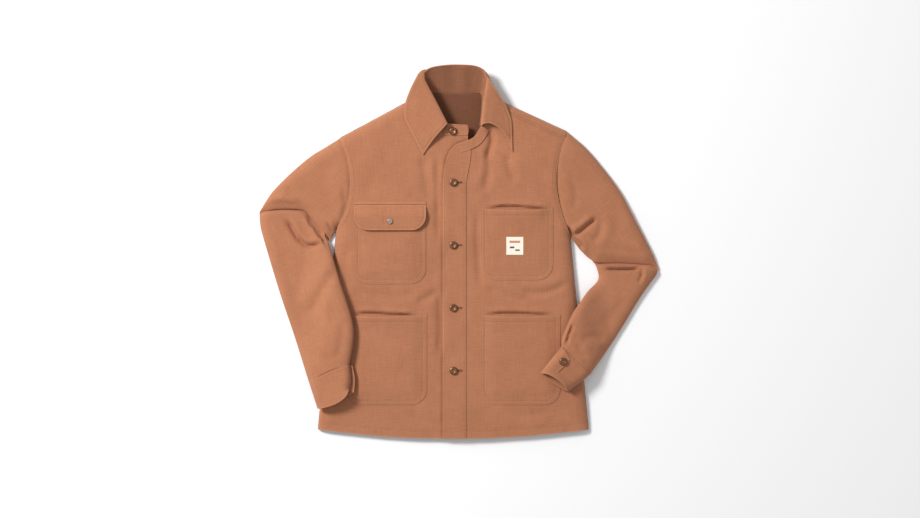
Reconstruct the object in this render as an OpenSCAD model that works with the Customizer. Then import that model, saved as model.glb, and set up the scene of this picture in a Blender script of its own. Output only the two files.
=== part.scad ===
// Work jacket in cotton duck, laid flat on its back with the front up.
// +Z is up off the surface it lies on, +Y runs to the collar, +X is the wearer's left.
// Left and right are the wearer's. Pairs of values are [right, left].

/* [Cloth] */
// Thickness of one layer of cloth
cloth = 1.6; // [1.2:0.1:2.2]
// Height of the hollow between back and fronts
loft = 15; // [13:0.5:22]
// Gap between pieces that move past each other
gap = 0.4; // [0.3:0.05:0.6]

/* [Body] */
// Back length from collar seam to hem
back_length = 777; // [690:1:900]
// Width at the hem
hem_width = 607; // [560:1:740]
// Width from armpit to armpit
chest_width = 524; // [480:1:640]
// Width between the shoulder points
shoulder_width = 509; // [470:1:620]
// Width of the back neck seam
neck_width = 130; // [115:1:160]
// Drop from the collar seam to each shoulder point
shoulder_drop = [102, 87]; // [60:1:130]
// Depth of each armhole from shoulder point to armpit
armhole_depth = [202, 232]; // [180:1:280]
// How far each armhole curves in
armhole_curve = 27; // [15:1:40]
// How far the hem corners sit above the hem's middle
hem_rise = 20; // [0:1:40]
// Width of the doubled hem
hem_turn = 16; // [10:1:25]

/* [Front closing] */
// Width of the buttonhole band
placket_width = 52; // [45:1:60]
// Buttons' distance from the band's edge
button_inset = 23; // [20:1:30]
// Buttons down the front, not counting the neck
button_count = 4; // [3:1:5]
// First button below the collar seam
first_button = 202; // [190:1:230]
// Last button above the hem
last_button = 153; // [120:1:180]
// Radius of a tack button's head
button_r = 8.75; // [7:0.25:10]
// Length of a buttonhole past the post
buttonhole = 19; // [17:0.5:24]

/* [Pockets] */
// Height of the hollow in a patch pocket
pocket_loft = 6; // [5:0.5:10]
// Width of a hip pocket
hip_width = 178; // [160:1:200]
// Depth of a hip pocket
hip_depth = 201; // [180:1:220]
// Hip pocket's bottom above the hem
hip_above_hem = 77; // [60:1:100]
// Distance of the hip pockets from the front's middle, [right, left]
hip_from_middle = [60, 61]; // [55:1:80]
// Width of a chest pocket
chest_pocket_width = 162; // [150:1:170]
// Depth of the chest pockets, [right, left]
chest_pocket_depth = [154, 160]; // [140:1:170]
// Distance of the chest pockets from the front's middle
chest_from_middle = [62, 61]; // [58:1:75]
// Chest pocket mouths below the collar seam
chest_mouth = [275, 260]; // [240:1:290]
// Radius of the pockets' bottom corners
pocket_r = 34; // [20:1:45]
// Height of the pocket flap
flap_height = 57; // [50:1:65]
// Radius of the flap's corners
flap_r = 34; // [20:1:40]
// Side of the woven label
label_size = [38, 40]; // [30:1:45]

/* [Collar] */
// Length of the stand's slope from seam to fold
stand_slope = 71; // [60:1:80]
// Angle of the stand above the surface it lies on
stand_angle = 32; // [28:1:36]
// Height of the fold where the leaves hinge
fold_z = 34; // [32:1:40]
// Length of the fall behind the neck
fall_length = 42; // [38:1:44]

/* [Sleeves] */
// Shoulder point to the bend, along the outer edge
upper_length = [246, 371]; // [230:1:420]
// Direction of the upper sleeve
upper_angle = [222.6, -56.1]; // [-90:0.1:270]
// Width across the bend
elbow_width = [158, 163]; // [140:1:180]
// Direction of the bend line
elbow_angle = [-20.7, 170.8]; // [-40:0.1:190]
// Bend to the cuff seam, along the outer edge
fore_length = [392, 284]; // [260:1:430]
// Direction of the forearm
fore_angle = [-73.7, -123.1]; // [-140:0.1:-50]
// Width at the cuff seam
wrist_width = [100, 106]; // [90:1:115]
// Direction of the cuff seam
wrist_angle = [21.2, 135.8]; // [0:0.1:180]
// Depth of the cuff
cuff_depth = [68, 62]; // [50:1:80]
// Direction of the cuff's outer edge
cuff_angle = [-71.6, -143]; // [-160:0.1:-60]
// Width of the cuff's end
cuff_width = [85, 75]; // [70:1:95]
// Direction of the cuff's end
cuff_end_angle = [32.6, 145.3]; // [0:0.1:180]
// Thickness of a sleeve lying flat
sleeve_t = 16.4; // [14:0.2:20]
// How steeply the forearms rise over the body
fore_tilt = 6.8; // [6:0.1:8]

/* [Hidden] */

$fn = 48;
R = 0;
L = 1;
sgn = [-1, 1];
big = 2000;

// The lie on the surface: the overall box is centred on the origin
middle_x = -12.85;
neck_y = 357.78;
hem_y = neck_y - back_length;
middle = [middle_x, neck_y];

fold_inset = 0.2;
hem_clear = 0.9;

// Levels
in_top = cloth + loft;
front_z = [in_top, in_top + cloth];
front_top = [in_top + cloth, in_top + 2 * cloth];
band_top = front_top[L] + cloth;
pocket_top = [for (k = [R, L]) front_top[k] + pocket_loft + cloth];

// Front edges
edge_x = middle_x - button_inset;
stitch_x = edge_x + placket_width;
under_edge_x = stitch_x + 4;
button_x = middle_x + 0.5;
button_y0 = neck_y - first_button;
button_pitch = (button_y0 - hem_y - last_button) / (button_count - 1);
button_ys = [for (i = [0:button_count - 1]) button_y0 - i * button_pitch];

// Tack buttons
post_r = 2;
post_fit = 0.07;
flange_r = 5.5;
flange_t = 1;
head_t = 4.4;
head_floor = 1.2;
head_cavity_r = 4;
head_cavity_t = 1.8;
head_hole_r = 2.6;
tip_r = 3.4;
tip_t = 1.1;
eyelet_r = 3.5;
slit = 1.6;

// Directions and curves
function polar(a, l) = l * [cos(a), sin(a)];
function side(k, half) = middle_x + sgn[k] * half;
function seg_normal(a, b) = [b.y - a.y, a.x - b.x] / norm(b - a);
function miter(p, i) = let (
    last = len(p) - 1,
    n1 = i > 0 ? seg_normal(p[i - 1], p[i]) : seg_normal(p[0], p[1]),
    n2 = i < last ? seg_normal(p[i], p[i + 1]) : seg_normal(p[last - 1], p[last]))
    (n1 + n2) / (1 + n1 * n2);
function shifted(p, w) = [for (i = [0:len(p) - 1]) p[i] + w * miter(p, i)];
function back(p) = [for (i = [len(p) - 1:-1:0]) p[i]];
function strip(p, w) = concat(p, back(shifted(p, w)));
// A path from a to b that bows out by h on its right-hand side
function bow(a, b, h, n = 8) = [for (i = [0:n]) let (t = i / n)
    a + (b - a) * t + 4 * h * t * (1 - t) * seg_normal(a, b)];
function arc(c, r, a0, a1, n = 6) = [for (i = [0:n]) c + polar(a0 + (a1 - a0) * i / n, r)];

// Body
function neck_pt(k) = [side(k, neck_width / 2), neck_y];
function shoulder_pt(k) = [side(k, shoulder_width / 2), neck_y - shoulder_drop[k]];
function armpit_pt(k) = [side(k, chest_width / 2), shoulder_pt(k).y - armhole_depth[k]];
function hem_pt(k) = [side(k, hem_width / 2), hem_y + hem_rise];
function armhole(k) = bow(shoulder_pt(k), armpit_pt(k), sgn[k] * armhole_curve);
function hem_line() = let (a = hem_pt(R), b = hem_pt(L))
    [for (i = [0:8]) let (t = i / 8) a + (b - a) * t - [0, 4 * hem_rise * t * (1 - t)]];
body_outline = concat([neck_pt(R)], armhole(R), hem_line(), back(armhole(L)), [neck_pt(L)]);
function side_x(k, y) = let (a = armpit_pt(k), b = hem_pt(k))
    a.x + (b.x - a.x) * (y - a.y) / (b.y - a.y);

// Neck opening, between the two fold lines of the collar
fold_low = [middle + [-12.5, -70], middle + [61.5, -75]];
fold_high = [middle + [-67.5, 40], middle + [70.5, 40]];
neck_hole = [fold_low[R], middle + [32, -73], fold_low[L], fold_high[L], fold_high[R]];

// Sleeves
function elbow_out(k) = shoulder_pt(k) + polar(upper_angle[k], upper_length[k]);
function elbow_in(k) = elbow_out(k) + polar(elbow_angle[k], elbow_width[k]);
function wrist_out(k) = elbow_out(k) + polar(fore_angle[k], fore_length[k]);
function wrist_in(k) = wrist_out(k) + polar(wrist_angle[k], wrist_width[k]);
function cuff_out(k) = wrist_out(k) + polar(cuff_angle[k], cuff_depth[k]);
function cuff_in(k) = cuff_out(k) + polar(cuff_end_angle[k], cuff_width[k]);
upper_bow = [15, 25];
fore_bow = [9, 6];
inner_bow = [18, 30];
function upper_outer(k) = bow(shoulder_pt(k) + [sgn[k] * gap, 0], elbow_out(k), -sgn[k] * upper_bow[k]);
function upper_inner(k) = [elbow_in(k), armpit_pt(k) + [sgn[k] * gap, 0]];
function upper_armhole(k) = [for (p = back(armhole(k))) p + [sgn[k] * gap, 0]];
function upper_outline(k) = concat(upper_outer(k), upper_inner(k),
    [for (i = [1:7]) upper_armhole(k)[i]]);
// The forearm starts a gap past the bend line
function past_bend(k) = -sgn[k] * gap * seg_normal(elbow_out(k), elbow_in(k));
function fore_outer(k) = bow(elbow_out(k) + past_bend(k), wrist_out(k), -sgn[k] * fore_bow[k]);
function fore_inner(k) = bow(wrist_in(k), elbow_in(k) + past_bend(k), inner_bow[k]);
function fore_outline(k) = concat(fore_outer(k), fore_inner(k));
cuff_cloth = 1.5 * cloth;
cuff_proud = 0.8;
function cuff_outline(k) = [wrist_out(k), cuff_out(k), cuff_in(k), wrist_in(k)];
// Height of each forearm's underside where it crosses the hip pocket's outer edge
fore_clear = [3, 1.6];
function hip_outer_x(k) = side(k, hip_from_middle[k] + hip_width);
fore_z = [for (k = [R, L]) pocket_top[k] + fore_clear[k]];

// Shared shapes
module plate(outline, z, t = cloth) {
    translate([0, 0, z]) linear_extrude(t) polygon(outline);
}
module fore_layer(k, from, to) {
    translate([hip_outer_x(k), 0, fore_z[k]]) rotate([0, sgn[k] * fore_tilt, 0])
        translate([-big / 2, -big / 2, from]) cube([big, big, to - from]);
}
module tilted_plate(k, outline, from, to) {
    intersection() {
        plate(outline, -big / 4, big / 2);
        fore_layer(k, from, to);
    }
}
module on_forearm(k, at, h) {
    run = (at.x - hip_outer_x(k)) / cos(fore_tilt);
    translate([hip_outer_x(k), at.y, fore_z[k]]) rotate([0, sgn[k] * fore_tilt, 0])
        translate([run, 0, h]) children();
}
module buttonhole_cut(at, z, along = 0) {
    translate([at.x, at.y, z]) rotate([0, 0, along]) {
        cylinder(r = eyelet_r, h = 3 * cloth, center = true);
        translate([0, -slit / 2, -1.5 * cloth]) cube([buttonhole, slit, 3 * cloth]);
    }
}
module post_cut(at, z, h) {
    translate([at.x, at.y, z - h]) cylinder(r = post_r + 0.1, h = 3 * h);
}
// A tack: flange behind the cloth, post through it, tip caught in the head
module tack(stack) {
    translate([0, 0, -flange_t]) cylinder(r = flange_r, h = flange_t);
    cylinder(r = post_r, h = stack + gap + head_floor + 0.3 + tip_t / 2);
    translate([0, 0, stack + gap + head_floor + 0.3]) cylinder(r = tip_r, h = tip_t);
}
// A head with an open centre, as a turned ring
module head(stack) {
    translate([0, 0, stack + gap]) rotate_extrude() polygon(concat(
        [[post_r + post_fit, 0], [button_r - 1.6, 0]],
        arc([button_r - 1.6, 1.6], 1.6, -90, 0, 4),
        arc([button_r - 2.4, head_t - 2.4], 2.4, 0, 90, 5),
        [[head_hole_r + 1.2, head_t - 0.4], [head_hole_r, head_cavity_t + head_floor + 0.6],
         [head_hole_r, head_floor + head_cavity_t],
         [head_cavity_r, head_floor + head_cavity_t],
         [head_cavity_r, head_floor], [post_r + post_fit, head_floor]]));
}

// Body
// Walls of cloth along the edges of an outline
module walls(k, outline, paths, z, h) {
    intersection() {
        plate(outline, z, h);
        union() for (path = paths) plate(strip(path, sgn[k] * cloth), z, h);
    }
}
module within_body(z, h) {
    intersection() {
        plate(body_outline, z, h);
        children();
    }
}
// Where a turned-up hem begins, clear of the side wall
function hem_start(k) = side_x(k, hem_y + hem_rise + hem_turn) - sgn[k] * (cloth + hem_clear);
// The turned-up hem, between two x
module hem_band(x0, x1, z) {
    intersection() {
        plate(strip(hem_line(), -hem_turn), z);
        translate([x0, hem_y - 10, z - 1]) cube([x1 - x0, big, cloth + 2]);
    }
}
// The fold along a shoulder, a hair inside the panel's edge and clear of its ends
function shoulder_fold(k) = let (a = neck_pt(k), b = shoulder_pt(k), run = (b - a) / norm(b - a))
    shifted([a + cloth * run, b - 2 * cloth * run], sgn[k] * fold_inset);
module back_panel() {
    color("saddlebrown") {
        plate(body_outline, 0);
        hem_band(hem_start(R), hem_start(L), cloth);
    }
}
module shoulder_seam(k) {
    color("saddlebrown")
        plate(strip(shoulder_fold(k), sgn[k] * cloth), cloth, front_z[k] - cloth);
}

turn_y = neck_y - 208;
open_edge = [[edge_x, turn_y], [edge_x + 11.5, turn_y + 40], middle + [8.5, -115], middle + [26.5, -107]];
module left_front() {
    reach = middle + [big / 2, 0];
    color("peru") {
        difference() {
            within_body(front_z[L], cloth) plate(concat(
                [[edge_x, -big / 2]], open_edge, [fold_low[L], fold_high[L], [reach.x, big / 2],
                [reach.x, -big / 2]]), front_z[L]);
            plate(neck_hole, front_z[L] - 1, cloth + 2);
            for (y = button_ys) buttonhole_cut([button_x, y], front_z[L] + cloth / 2);
            band_hole(front_z[L] + cloth / 2);
        }
        walls(L, body_outline, [[armpit_pt(L), hem_pt(L)]], cloth, front_z[L] - cloth);
        hem_band(under_edge_x + 1, hem_start(L), front_z[L] - cloth);
    }
}
module right_front() {
    color("peru") {
        difference() {
            within_body(front_z[R], cloth)
                translate([-big / 2, -big / 2, front_z[R]]) cube([big / 2 + under_edge_x, big, cloth]);
            plate(neck_hole, front_z[R] - 1, cloth + 2);
            for (y = button_ys) post_cut([button_x, y], front_z[R], cloth);
            post_cut(neck_button_at, front_z[R], cloth);
        }
        walls(R, body_outline, [[armpit_pt(R), hem_pt(R)]], cloth, front_z[R] - cloth);
        hem_band(hem_start(R), band_inner_x - 1, front_z[R] - cloth);
    }
}
band_inner_x = edge_x - 10;
module buttonhole_band() {
    top = open_edge[3];
    color("peru") difference() {
        within_body(front_top[L], cloth) plate([
            [edge_x, -big / 2], open_edge[0], open_edge[1], open_edge[2], top - [1, 0.6],
            top + [14, -18.5], [stitch_x + 6, turn_y + 55], [stitch_x, turn_y + 15],
            [stitch_x, -big / 2]], front_top[L]);
        for (y = button_ys) buttonhole_cut([button_x, y], front_top[L] + cloth / 2);
    }
}
module button_band() {
    color("peru") difference() {
        within_body(front_z[R] - cloth, cloth)
            translate([band_inner_x, -big / 2, front_z[R] - cloth])
                cube([under_edge_x - band_inner_x, big / 2 + neck_y - 103, cloth]);
        for (y = button_ys) post_cut([button_x, y], front_z[R] - cloth, cloth);
    }
}

// Neck band ends: the left one has fallen open, the right one shows its button
neck_button_at = middle + [-0.5, -87];
band_end_dir = (fold_low[L] - open_edge[3]) / norm(fold_low[L] - open_edge[3]);
band_end_across = [band_end_dir.y, -band_end_dir.x];
band_end_hole_at = open_edge[3] + 30 * band_end_dir + 13 * band_end_across;
module band_hole(z) {
    buttonhole_cut(band_end_hole_at, z, atan2(-band_end_dir.y, -band_end_dir.x));
}
module left_band_end() {
    a = open_edge[3] + 1 * band_end_dir;
    b = fold_low[L] - 4 * band_end_dir;
    color("peru") difference() {
        plate([a, b, b + 25 * band_end_across, a + 25 * band_end_across], front_top[L]);
        band_hole(front_top[L] + cloth / 2);
    }
}
module right_band_end() {
    color("peru") difference() {
        plate([fold_low[R] + [1, -1], [under_edge_x, neck_y - 73], [under_edge_x, neck_y - 96],
            fold_low[R] + [1, -25]], front_top[R]);
        post_cut(neck_button_at, front_top[R], cloth);
    }
}

// Collar
// How far the fall hangs down and forward of level
fall_angle = 117;
leaf_reach = [82, 72];
leaf_slope = [for (k = [R, L]) atan((fold_z - cloth - front_top[k] - gap) / leaf_reach[k])];
function fold_angle(k) = atan2(fold_high[k].y - fold_low[k].y, fold_high[k].x - fold_low[k].x);
module collar_stand() {
    color("sienna") {
        translate([middle_x, neck_y - 1, cloth]) rotate([stand_angle, 0, 0]) linear_extrude(cloth)
            polygon([[-62, 0.7 * cloth], [64, 0.7 * cloth], [78, stand_slope], [-70, stand_slope]]);
        for (k = [R, L]) plate(strip([fold_low[k], fold_high[k]], sgn[k] * cloth), front_top[k],
            fold_z - cloth - front_top[k]);
    }
}
module collar_fall() {
    top = [neck_y - 1 + stand_slope * cos(stand_angle), cloth + stand_slope * sin(stand_angle)];
    color("sienna") translate([middle_x, top.x + 0.8, top.y]) rotate([-fall_angle, 0, 0])
        linear_extrude(cloth) polygon([[-70, 0], [76, 0], [72, fall_length], [-66, fall_length]]);
}
leaf_points = [
    [[-79.5, 40], [-99.5, 4], [-109.5, -23], [-109.5, -58], [-68.5, -140]],
    [[78.5, 34], [104.5, -9], [129.5, -63], [132.5, -134], [111.5, -92], [86.5, -73]]];
module leaf_layer(k) {
    translate([fold_low[k].x, fold_low[k].y, fold_z]) rotate([0, 0, fold_angle(k)])
        rotate([sgn[k] * leaf_slope[k], 0, 0])
            translate([-big / 2, -big / 2, -cloth / 2]) cube([big, big, cloth]);
}
module collar_leaf(k) {
    color("chocolate") intersection() {
        plate(concat([fold_high[k]], [for (p = leaf_points[k]) middle + p], [fold_low[k]]), 0, 100);
        leaf_layer(k);
    }
}

// Pockets
// Down one side, round the bottom and up the other, from mouth corner to mouth corner
function pouch(x0, x1, mouth, bottom, r) = concat([[x0, mouth]],
    arc([x0 + r, bottom + r], r, 180, 270), arc([x1 - r, bottom + r], r, 270, 360), [[x1, mouth]]);
function pocket_x(k, from, width) = k == R ? [side(R, from + width), side(R, from)]
    : [side(L, from), side(L, from + width)];
module patch_pocket(k, from, width, mouth, depth) {
    x = pocket_x(k, from, width);
    path = pouch(x[0], x[1], mouth, mouth - depth, pocket_r);
    plate(path, front_top[k] + pocket_loft);
    plate(strip(path, -cloth), front_top[k], pocket_loft);
}
module chest_pocket(k) {
    color("burlywood") patch_pocket(k, chest_from_middle[k], chest_pocket_width,
        neck_y - chest_mouth[k], chest_pocket_depth[k]);
}
module hip_pocket(k) {
    color("burlywood") patch_pocket(k, hip_from_middle[k], hip_width,
        hem_y + hip_above_hem + hip_depth, hip_depth);
}
label_at = [side(L, chest_from_middle[L] + 58), neck_y - chest_mouth[L] - 104];
module woven_label() {
    color("ivory") translate([label_at.x, label_at.y, pocket_top[L]])
        cube([label_size[0], label_size[1], 0.8]);
}

// Flap, hinged at its top seam, with a press stud
flap_y = neck_y - 252;
flap_x = pocket_x(R, chest_from_middle[R] - 1, chest_pocket_width);
flap_hinge_z = front_top[R] + cloth;
flap_under = pocket_top[R] + 2.2;
snap_at = [(flap_x[0] + flap_x[1]) / 2, flap_y - 37];
snap_r = 6.3;
module pocket_flap() {
    bend_y = neck_y - chest_mouth[R] + 3;
    low_y = flap_y - flap_height - 1;
    color("peru") difference() {
        intersection() {
            plate(pouch(flap_x[0], flap_x[1], flap_y, flap_y - flap_height, flap_r), 0, 100);
            translate([flap_x[0] - 10, 0, 0]) rotate([90, 0, 90]) linear_extrude(chest_pocket_width + 20)
                polygon([[flap_y, flap_hinge_z - cloth / 2], [flap_y, flap_hinge_z + cloth / 2],
                    [bend_y, flap_under + cloth], [low_y, flap_under + cloth],
                    [low_y, flap_under], [bend_y, flap_under]]);
        }
        post_cut(snap_at, flap_under, cloth);
    }
}
module flap_seam() {
    color("peru") translate([flap_x[0], flap_y + cloth / 2 + gap, front_top[R]])
        cube([flap_x[1] - flap_x[0], 6, cloth / 2]);
}
module snap_cap() {
    color("silver") translate([snap_at.x, snap_at.y, flap_under]) {
        cylinder(r = post_r, h = cloth);
        translate([0, 0, cloth]) rotate_extrude() polygon(concat(
            [[0, 0], [snap_r, 0]], arc([snap_r - 1.2, 0.8], 1.2, 0, 90, 4), [[0, 2.3]]));
    }
}
module snap_socket() {
    color("silver") translate([snap_at.x, snap_at.y, flap_under - 1.1]) difference() {
        cylinder(r = 5, h = 1.1);
        translate([0, 0, -1]) cylinder(r = 2.4, h = 3);
    }
}
module snap_stud() {
    color("silver") translate([snap_at.x, snap_at.y, pocket_top[R]]) {
        cylinder(r = 5, h = 0.7);
        cylinder(r = 1.9, h = 1.7);
    }
}

// Tack buttons
front_stack = band_top - front_z[R] + cloth;
neck_stack = 2 * cloth;
cuff_stack = cuff_cloth + cloth;
module front_tacks() {
    color("sandybrown") for (y = button_ys)
        translate([button_x, y, front_z[R] - cloth]) tack(front_stack);
}
module neck_tack() {
    color("sandybrown") translate([neck_button_at.x, neck_button_at.y, front_z[R]]) tack(neck_stack);
}
module front_button(i) {
    color("sandybrown") translate([button_x, button_ys[i], front_z[R] - cloth]) head(front_stack);
}
module neck_button() {
    color("sandybrown") translate([neck_button_at.x, neck_button_at.y, front_z[R]]) head(neck_stack);
}

// Sleeves
module upper_top_sleeve(k) {
    color("peru") {
        plate(upper_outline(k), front_z[k]);
        walls(k, upper_outline(k), [upper_outer(k), upper_inner(k)], cloth, front_z[k] - cloth);
    }
}
module upper_under_sleeve(k) {
    color("saddlebrown") plate(upper_outline(k), 0);
}
module lower_top_sleeve(k) {
    color("peru") {
        tilted_plate(k, fore_outline(k), sleeve_t - cloth, sleeve_t);
        intersection() {
            walls(k, fore_outline(k), [fore_outer(k), fore_inner(k)], -big / 4, big / 2);
            fore_layer(k, cloth, sleeve_t);
        }
    }
}
module lower_under_sleeve(k) {
    color("saddlebrown") tilted_plate(k, fore_outline(k), 0, cloth);
}

// Cuffs: the left one's button is on top, the right one's is underneath
cuff_from = -cuff_proud;
cuff_to = sleeve_t + cuff_proud;
function tab_z(k) = k == L ? cuff_to : cuff_from;
cuff_button_at = [cuff_in(R) + [-18, 24], cuff_in(L) + [48, 25]];
module cuff(k) {
    color("chocolate") difference() {
        union() {
            tilted_plate(k, cuff_outline(k), cuff_to - cuff_cloth, cuff_to);
            tilted_plate(k, cuff_outline(k), cuff_from, cuff_from + cuff_cloth);
            intersection() {
                plate(cuff_outline(k), -big / 4, big / 2);
                union() for (path = [[wrist_out(k), cuff_out(k)], [cuff_in(k), wrist_in(k)]])
                    tilted_plate(k, strip(path, sgn[k] * cuff_cloth), cuff_from, cuff_to);
            }
        }
        on_forearm(k, cuff_button_at[k], tab_z(k) - 2 * cuff_cloth)
            cylinder(r = post_r + 0.1, h = 4 * cuff_cloth);
    }
}
module cuff_tab(k) {
    h = k == L ? cuff_to : cuff_from - cloth;
    at = cuff_button_at[k];
    u = polar(wrist_angle[k], 1);
    v = [-u.y, u.x];
    color("chocolate") difference() {
        tilted_plate(k, [at + 12 * u + 12 * v, at - 16 * u + 12 * v, at - 24 * u,
            at - 16 * u - 12 * v, at + 12 * u - 12 * v], h, h + cloth);
        on_forearm(k, at, h - cloth) cylinder(r = eyelet_r, h = 3 * cloth);
    }
}
module cuff_side(k) {
    on_forearm(k, cuff_button_at[k], k == L ? cuff_to - cuff_cloth : cuff_from + cuff_cloth)
        rotate([k == L ? 0 : 180, 0, 0]) children();
}
module cuff_tack(k) {
    color("sandybrown") cuff_side(k) tack(cuff_stack);
}
module cuff_button(k) {
    color("sandybrown") cuff_side(k) head(cuff_stack);
}

back_panel();
left_front();
right_front();
shoulder_seam(L);  // left_shoulder_seam
shoulder_seam(R);  // right_shoulder_seam
buttonhole_band();
button_band();
collar_stand();
collar_fall();
left_band_end();
right_band_end();
chest_pocket(R);  // right_chest_pocket
chest_pocket(L);  // left_chest_pocket
hip_pocket(R);  // right_hip_pocket
hip_pocket(L);  // left_hip_pocket
woven_label();
flap_seam();
pocket_flap();
snap_cap();
snap_socket();
snap_stud();
collar_leaf(L);  // left_collar_leaf
collar_leaf(R);  // right_collar_leaf
front_tacks();
neck_tack();
cuff_tack(L);  // left_cuff_tack
cuff_tack(R);  // right_cuff_tack
front_button(0);  // front_button_1
front_button(1);  // front_button_2
front_button(2);  // front_button_3
front_button(3);  // front_button_4
neck_button();
cuff_button(L);  // left_cuff_button
cuff_button(R);  // right_cuff_button
upper_top_sleeve(R);  // right_upper_top_sleeve
upper_under_sleeve(R);  // right_upper_under_sleeve
upper_top_sleeve(L);  // left_upper_top_sleeve
upper_under_sleeve(L);  // left_upper_under_sleeve
lower_top_sleeve(R);  // right_lower_top_sleeve
lower_under_sleeve(R);  // right_lower_under_sleeve
lower_top_sleeve(L);  // left_lower_top_sleeve
lower_under_sleeve(L);  // left_lower_under_sleeve
cuff(R);  // right_cuff
cuff(L);  // left_cuff
cuff_tab(R);  // right_cuff_tab
cuff_tab(L);  // left_cuff_tab
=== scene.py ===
import math

import bmesh
import bpy
import numpy as np
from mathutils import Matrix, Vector
from mathutils.geometry import delaunay_2d_cdt


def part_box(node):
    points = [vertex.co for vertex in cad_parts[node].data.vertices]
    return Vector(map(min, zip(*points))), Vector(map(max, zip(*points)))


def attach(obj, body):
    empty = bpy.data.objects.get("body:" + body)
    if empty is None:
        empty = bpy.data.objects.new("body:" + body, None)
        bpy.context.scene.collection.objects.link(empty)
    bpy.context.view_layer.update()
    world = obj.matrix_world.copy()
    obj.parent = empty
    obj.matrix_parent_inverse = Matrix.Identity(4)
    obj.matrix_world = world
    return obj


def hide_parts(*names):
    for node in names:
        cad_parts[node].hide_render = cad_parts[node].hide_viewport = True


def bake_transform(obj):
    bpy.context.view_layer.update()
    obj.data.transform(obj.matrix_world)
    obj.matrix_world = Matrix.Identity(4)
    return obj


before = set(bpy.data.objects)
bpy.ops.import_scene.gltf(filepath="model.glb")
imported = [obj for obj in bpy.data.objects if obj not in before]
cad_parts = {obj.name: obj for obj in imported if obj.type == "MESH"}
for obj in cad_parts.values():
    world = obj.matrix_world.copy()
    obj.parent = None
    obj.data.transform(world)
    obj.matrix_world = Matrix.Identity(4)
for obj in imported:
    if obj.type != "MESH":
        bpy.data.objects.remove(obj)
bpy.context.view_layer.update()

# ---------------------------------------------------------------- Studio
# A matt white table, a soft key light from the upper left, a wide fill, and a camera that
# looks straight down on the jacket from high above.
MM = 0.001
scene = bpy.context.scene
scene.view_settings.view_transform = "Standard"


def srgb(code):
    """A hex colour as linear RGBA."""
    channels = [int(code[i:i + 2], 16) / 255 for i in (1, 3, 5)]
    return [c / 12.92 if c <= 0.04045 else ((c + 0.055) / 1.055) ** 2.4 for c in channels] + [1.0]


def add(tree, kind, settings=None, links=None):
    """One node, a shader one unless its kind says otherwise, with its settings and what feeds
    it: a socket, or a node whose first output is meant."""
    node = tree.nodes.new(kind if "Node" in kind else "ShaderNode" + kind)
    for key, value in (settings or {}).items():
        if isinstance(key, str) and hasattr(node, key):
            setattr(node, key, value)
        else:
            node.inputs[key].default_value = value
    for key, source in (links or {}).items():
        tree.links.new(source.outputs[0] if hasattr(source, "outputs") else source, node.inputs[key])
    return node


def new_material(name):
    """An empty material with its output, and the tree to fill."""
    material = bpy.data.materials.new(name)
    material.use_nodes = True
    material.node_tree.nodes.clear()
    return material, material.node_tree


table_size = 4.0
table_mesh = bpy.data.meshes.new("table_top")
half = table_size / 2
table_mesh.from_pydata(
    [(-half, -half, -0.0006), (half, -half, -0.0006), (half, half, -0.0006), (-half, half, -0.0006)],
    [], [(0, 1, 2, 3)])
table = bpy.data.objects.new("table_top", table_mesh)
scene.collection.objects.link(table)
# White melamine board: an even, matt white
melamine, tree = new_material("white_melamine")
shader = add(tree, "BsdfPrincipled", {"Base Color": srgb("#FCFCFD"), "Roughness": 0.7})
add(tree, "OutputMaterial", links={"Surface": shader})
table_mesh.materials.append(melamine)

world = bpy.data.worlds.new("studio")
world.use_nodes = True
world.node_tree.nodes["Background"].inputs["Color"].default_value = srgb("#FFFFFF")
world.node_tree.nodes["Background"].inputs["Strength"].default_value = 0.50
scene.world = world

key_light = bpy.data.lights.new("key", "AREA")
key_light.shape = "DISK"
key_light.size = 1.24
key_light.energy = 205
key_lamp = bpy.data.objects.new("key", key_light)
key_lamp.location = (-2.91, 1.90, 3.13)
key_lamp.rotation_euler = key_lamp.location.to_track_quat("Z", "Y").to_euler()
scene.collection.objects.link(key_lamp)

camera_height = 6.0
seen_width = 2.07
sensor = 0.036
camera_data = bpy.data.cameras.new("camera")
camera_data.sensor_width = sensor * 1000
camera_data.lens = sensor * 1000 * camera_height / seen_width
camera = bpy.data.objects.new("camera", camera_data)
camera.location = (0.00225, -0.01575, camera_height)
scene.collection.objects.link(camera)
scene.camera = camera

# ---------------------------------------------------------------- Back
# One wide panel of cotton duck, the lowest layer, lying flat on the table with its wrong side
# up. The fronts are sewn to it at the sides and along the shoulders.
CLOTH = 1.2  # mm, one layer of the duck with its bumps
SIDE_Z = 4.5  # mm, height of the side seams above the table
SLACK = 0.3  # mm, air between two layers
MIDDLE_X = -12.85  # mm, the jacket's middle line


def smooth_path(points, step=4.0, count=0):
    """A smooth line through the points, in mm, with one point every step, or count of them."""
    p = np.array(points, float)
    if len(p) > 2:
        ends = np.vstack([2 * p[0] - p[1], p, 2 * p[-1] - p[-2]])
        t = np.linspace(0, 1, 13)[:-1, None]
        runs = []
        for a, b, c, d in zip(ends, ends[1:], ends[2:], ends[3:]):
            runs.append(0.5 * (2 * b + (c - a) * t + (2 * a - 5 * b + 4 * c - d) * t ** 2
                               + (3 * b - a - 3 * c + d) * t ** 3))
        p = np.vstack(runs + [p[-1:]])
    far = np.concatenate([[0], np.cumsum(np.linalg.norm(np.diff(p, axis=0), axis=1))])
    s = np.linspace(0, far[-1], count or max(2, round(far[-1] / step) + 1))
    return np.column_stack([np.interp(s, far, axis) for axis in p.T])


def pair(right, left):
    """One smooth line for each side of the jacket, the wearer's right and left."""
    return {"right": smooth_path(right), "left": smooth_path(left)}


def outline(*edges):
    """A closed outline from edges laid end to end, each a finished line or points to smooth."""
    lines = [smooth_path(edge) if isinstance(edge, list) else edge for edge in edges]
    return np.vstack([line[:-1] for line in lines])


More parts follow.
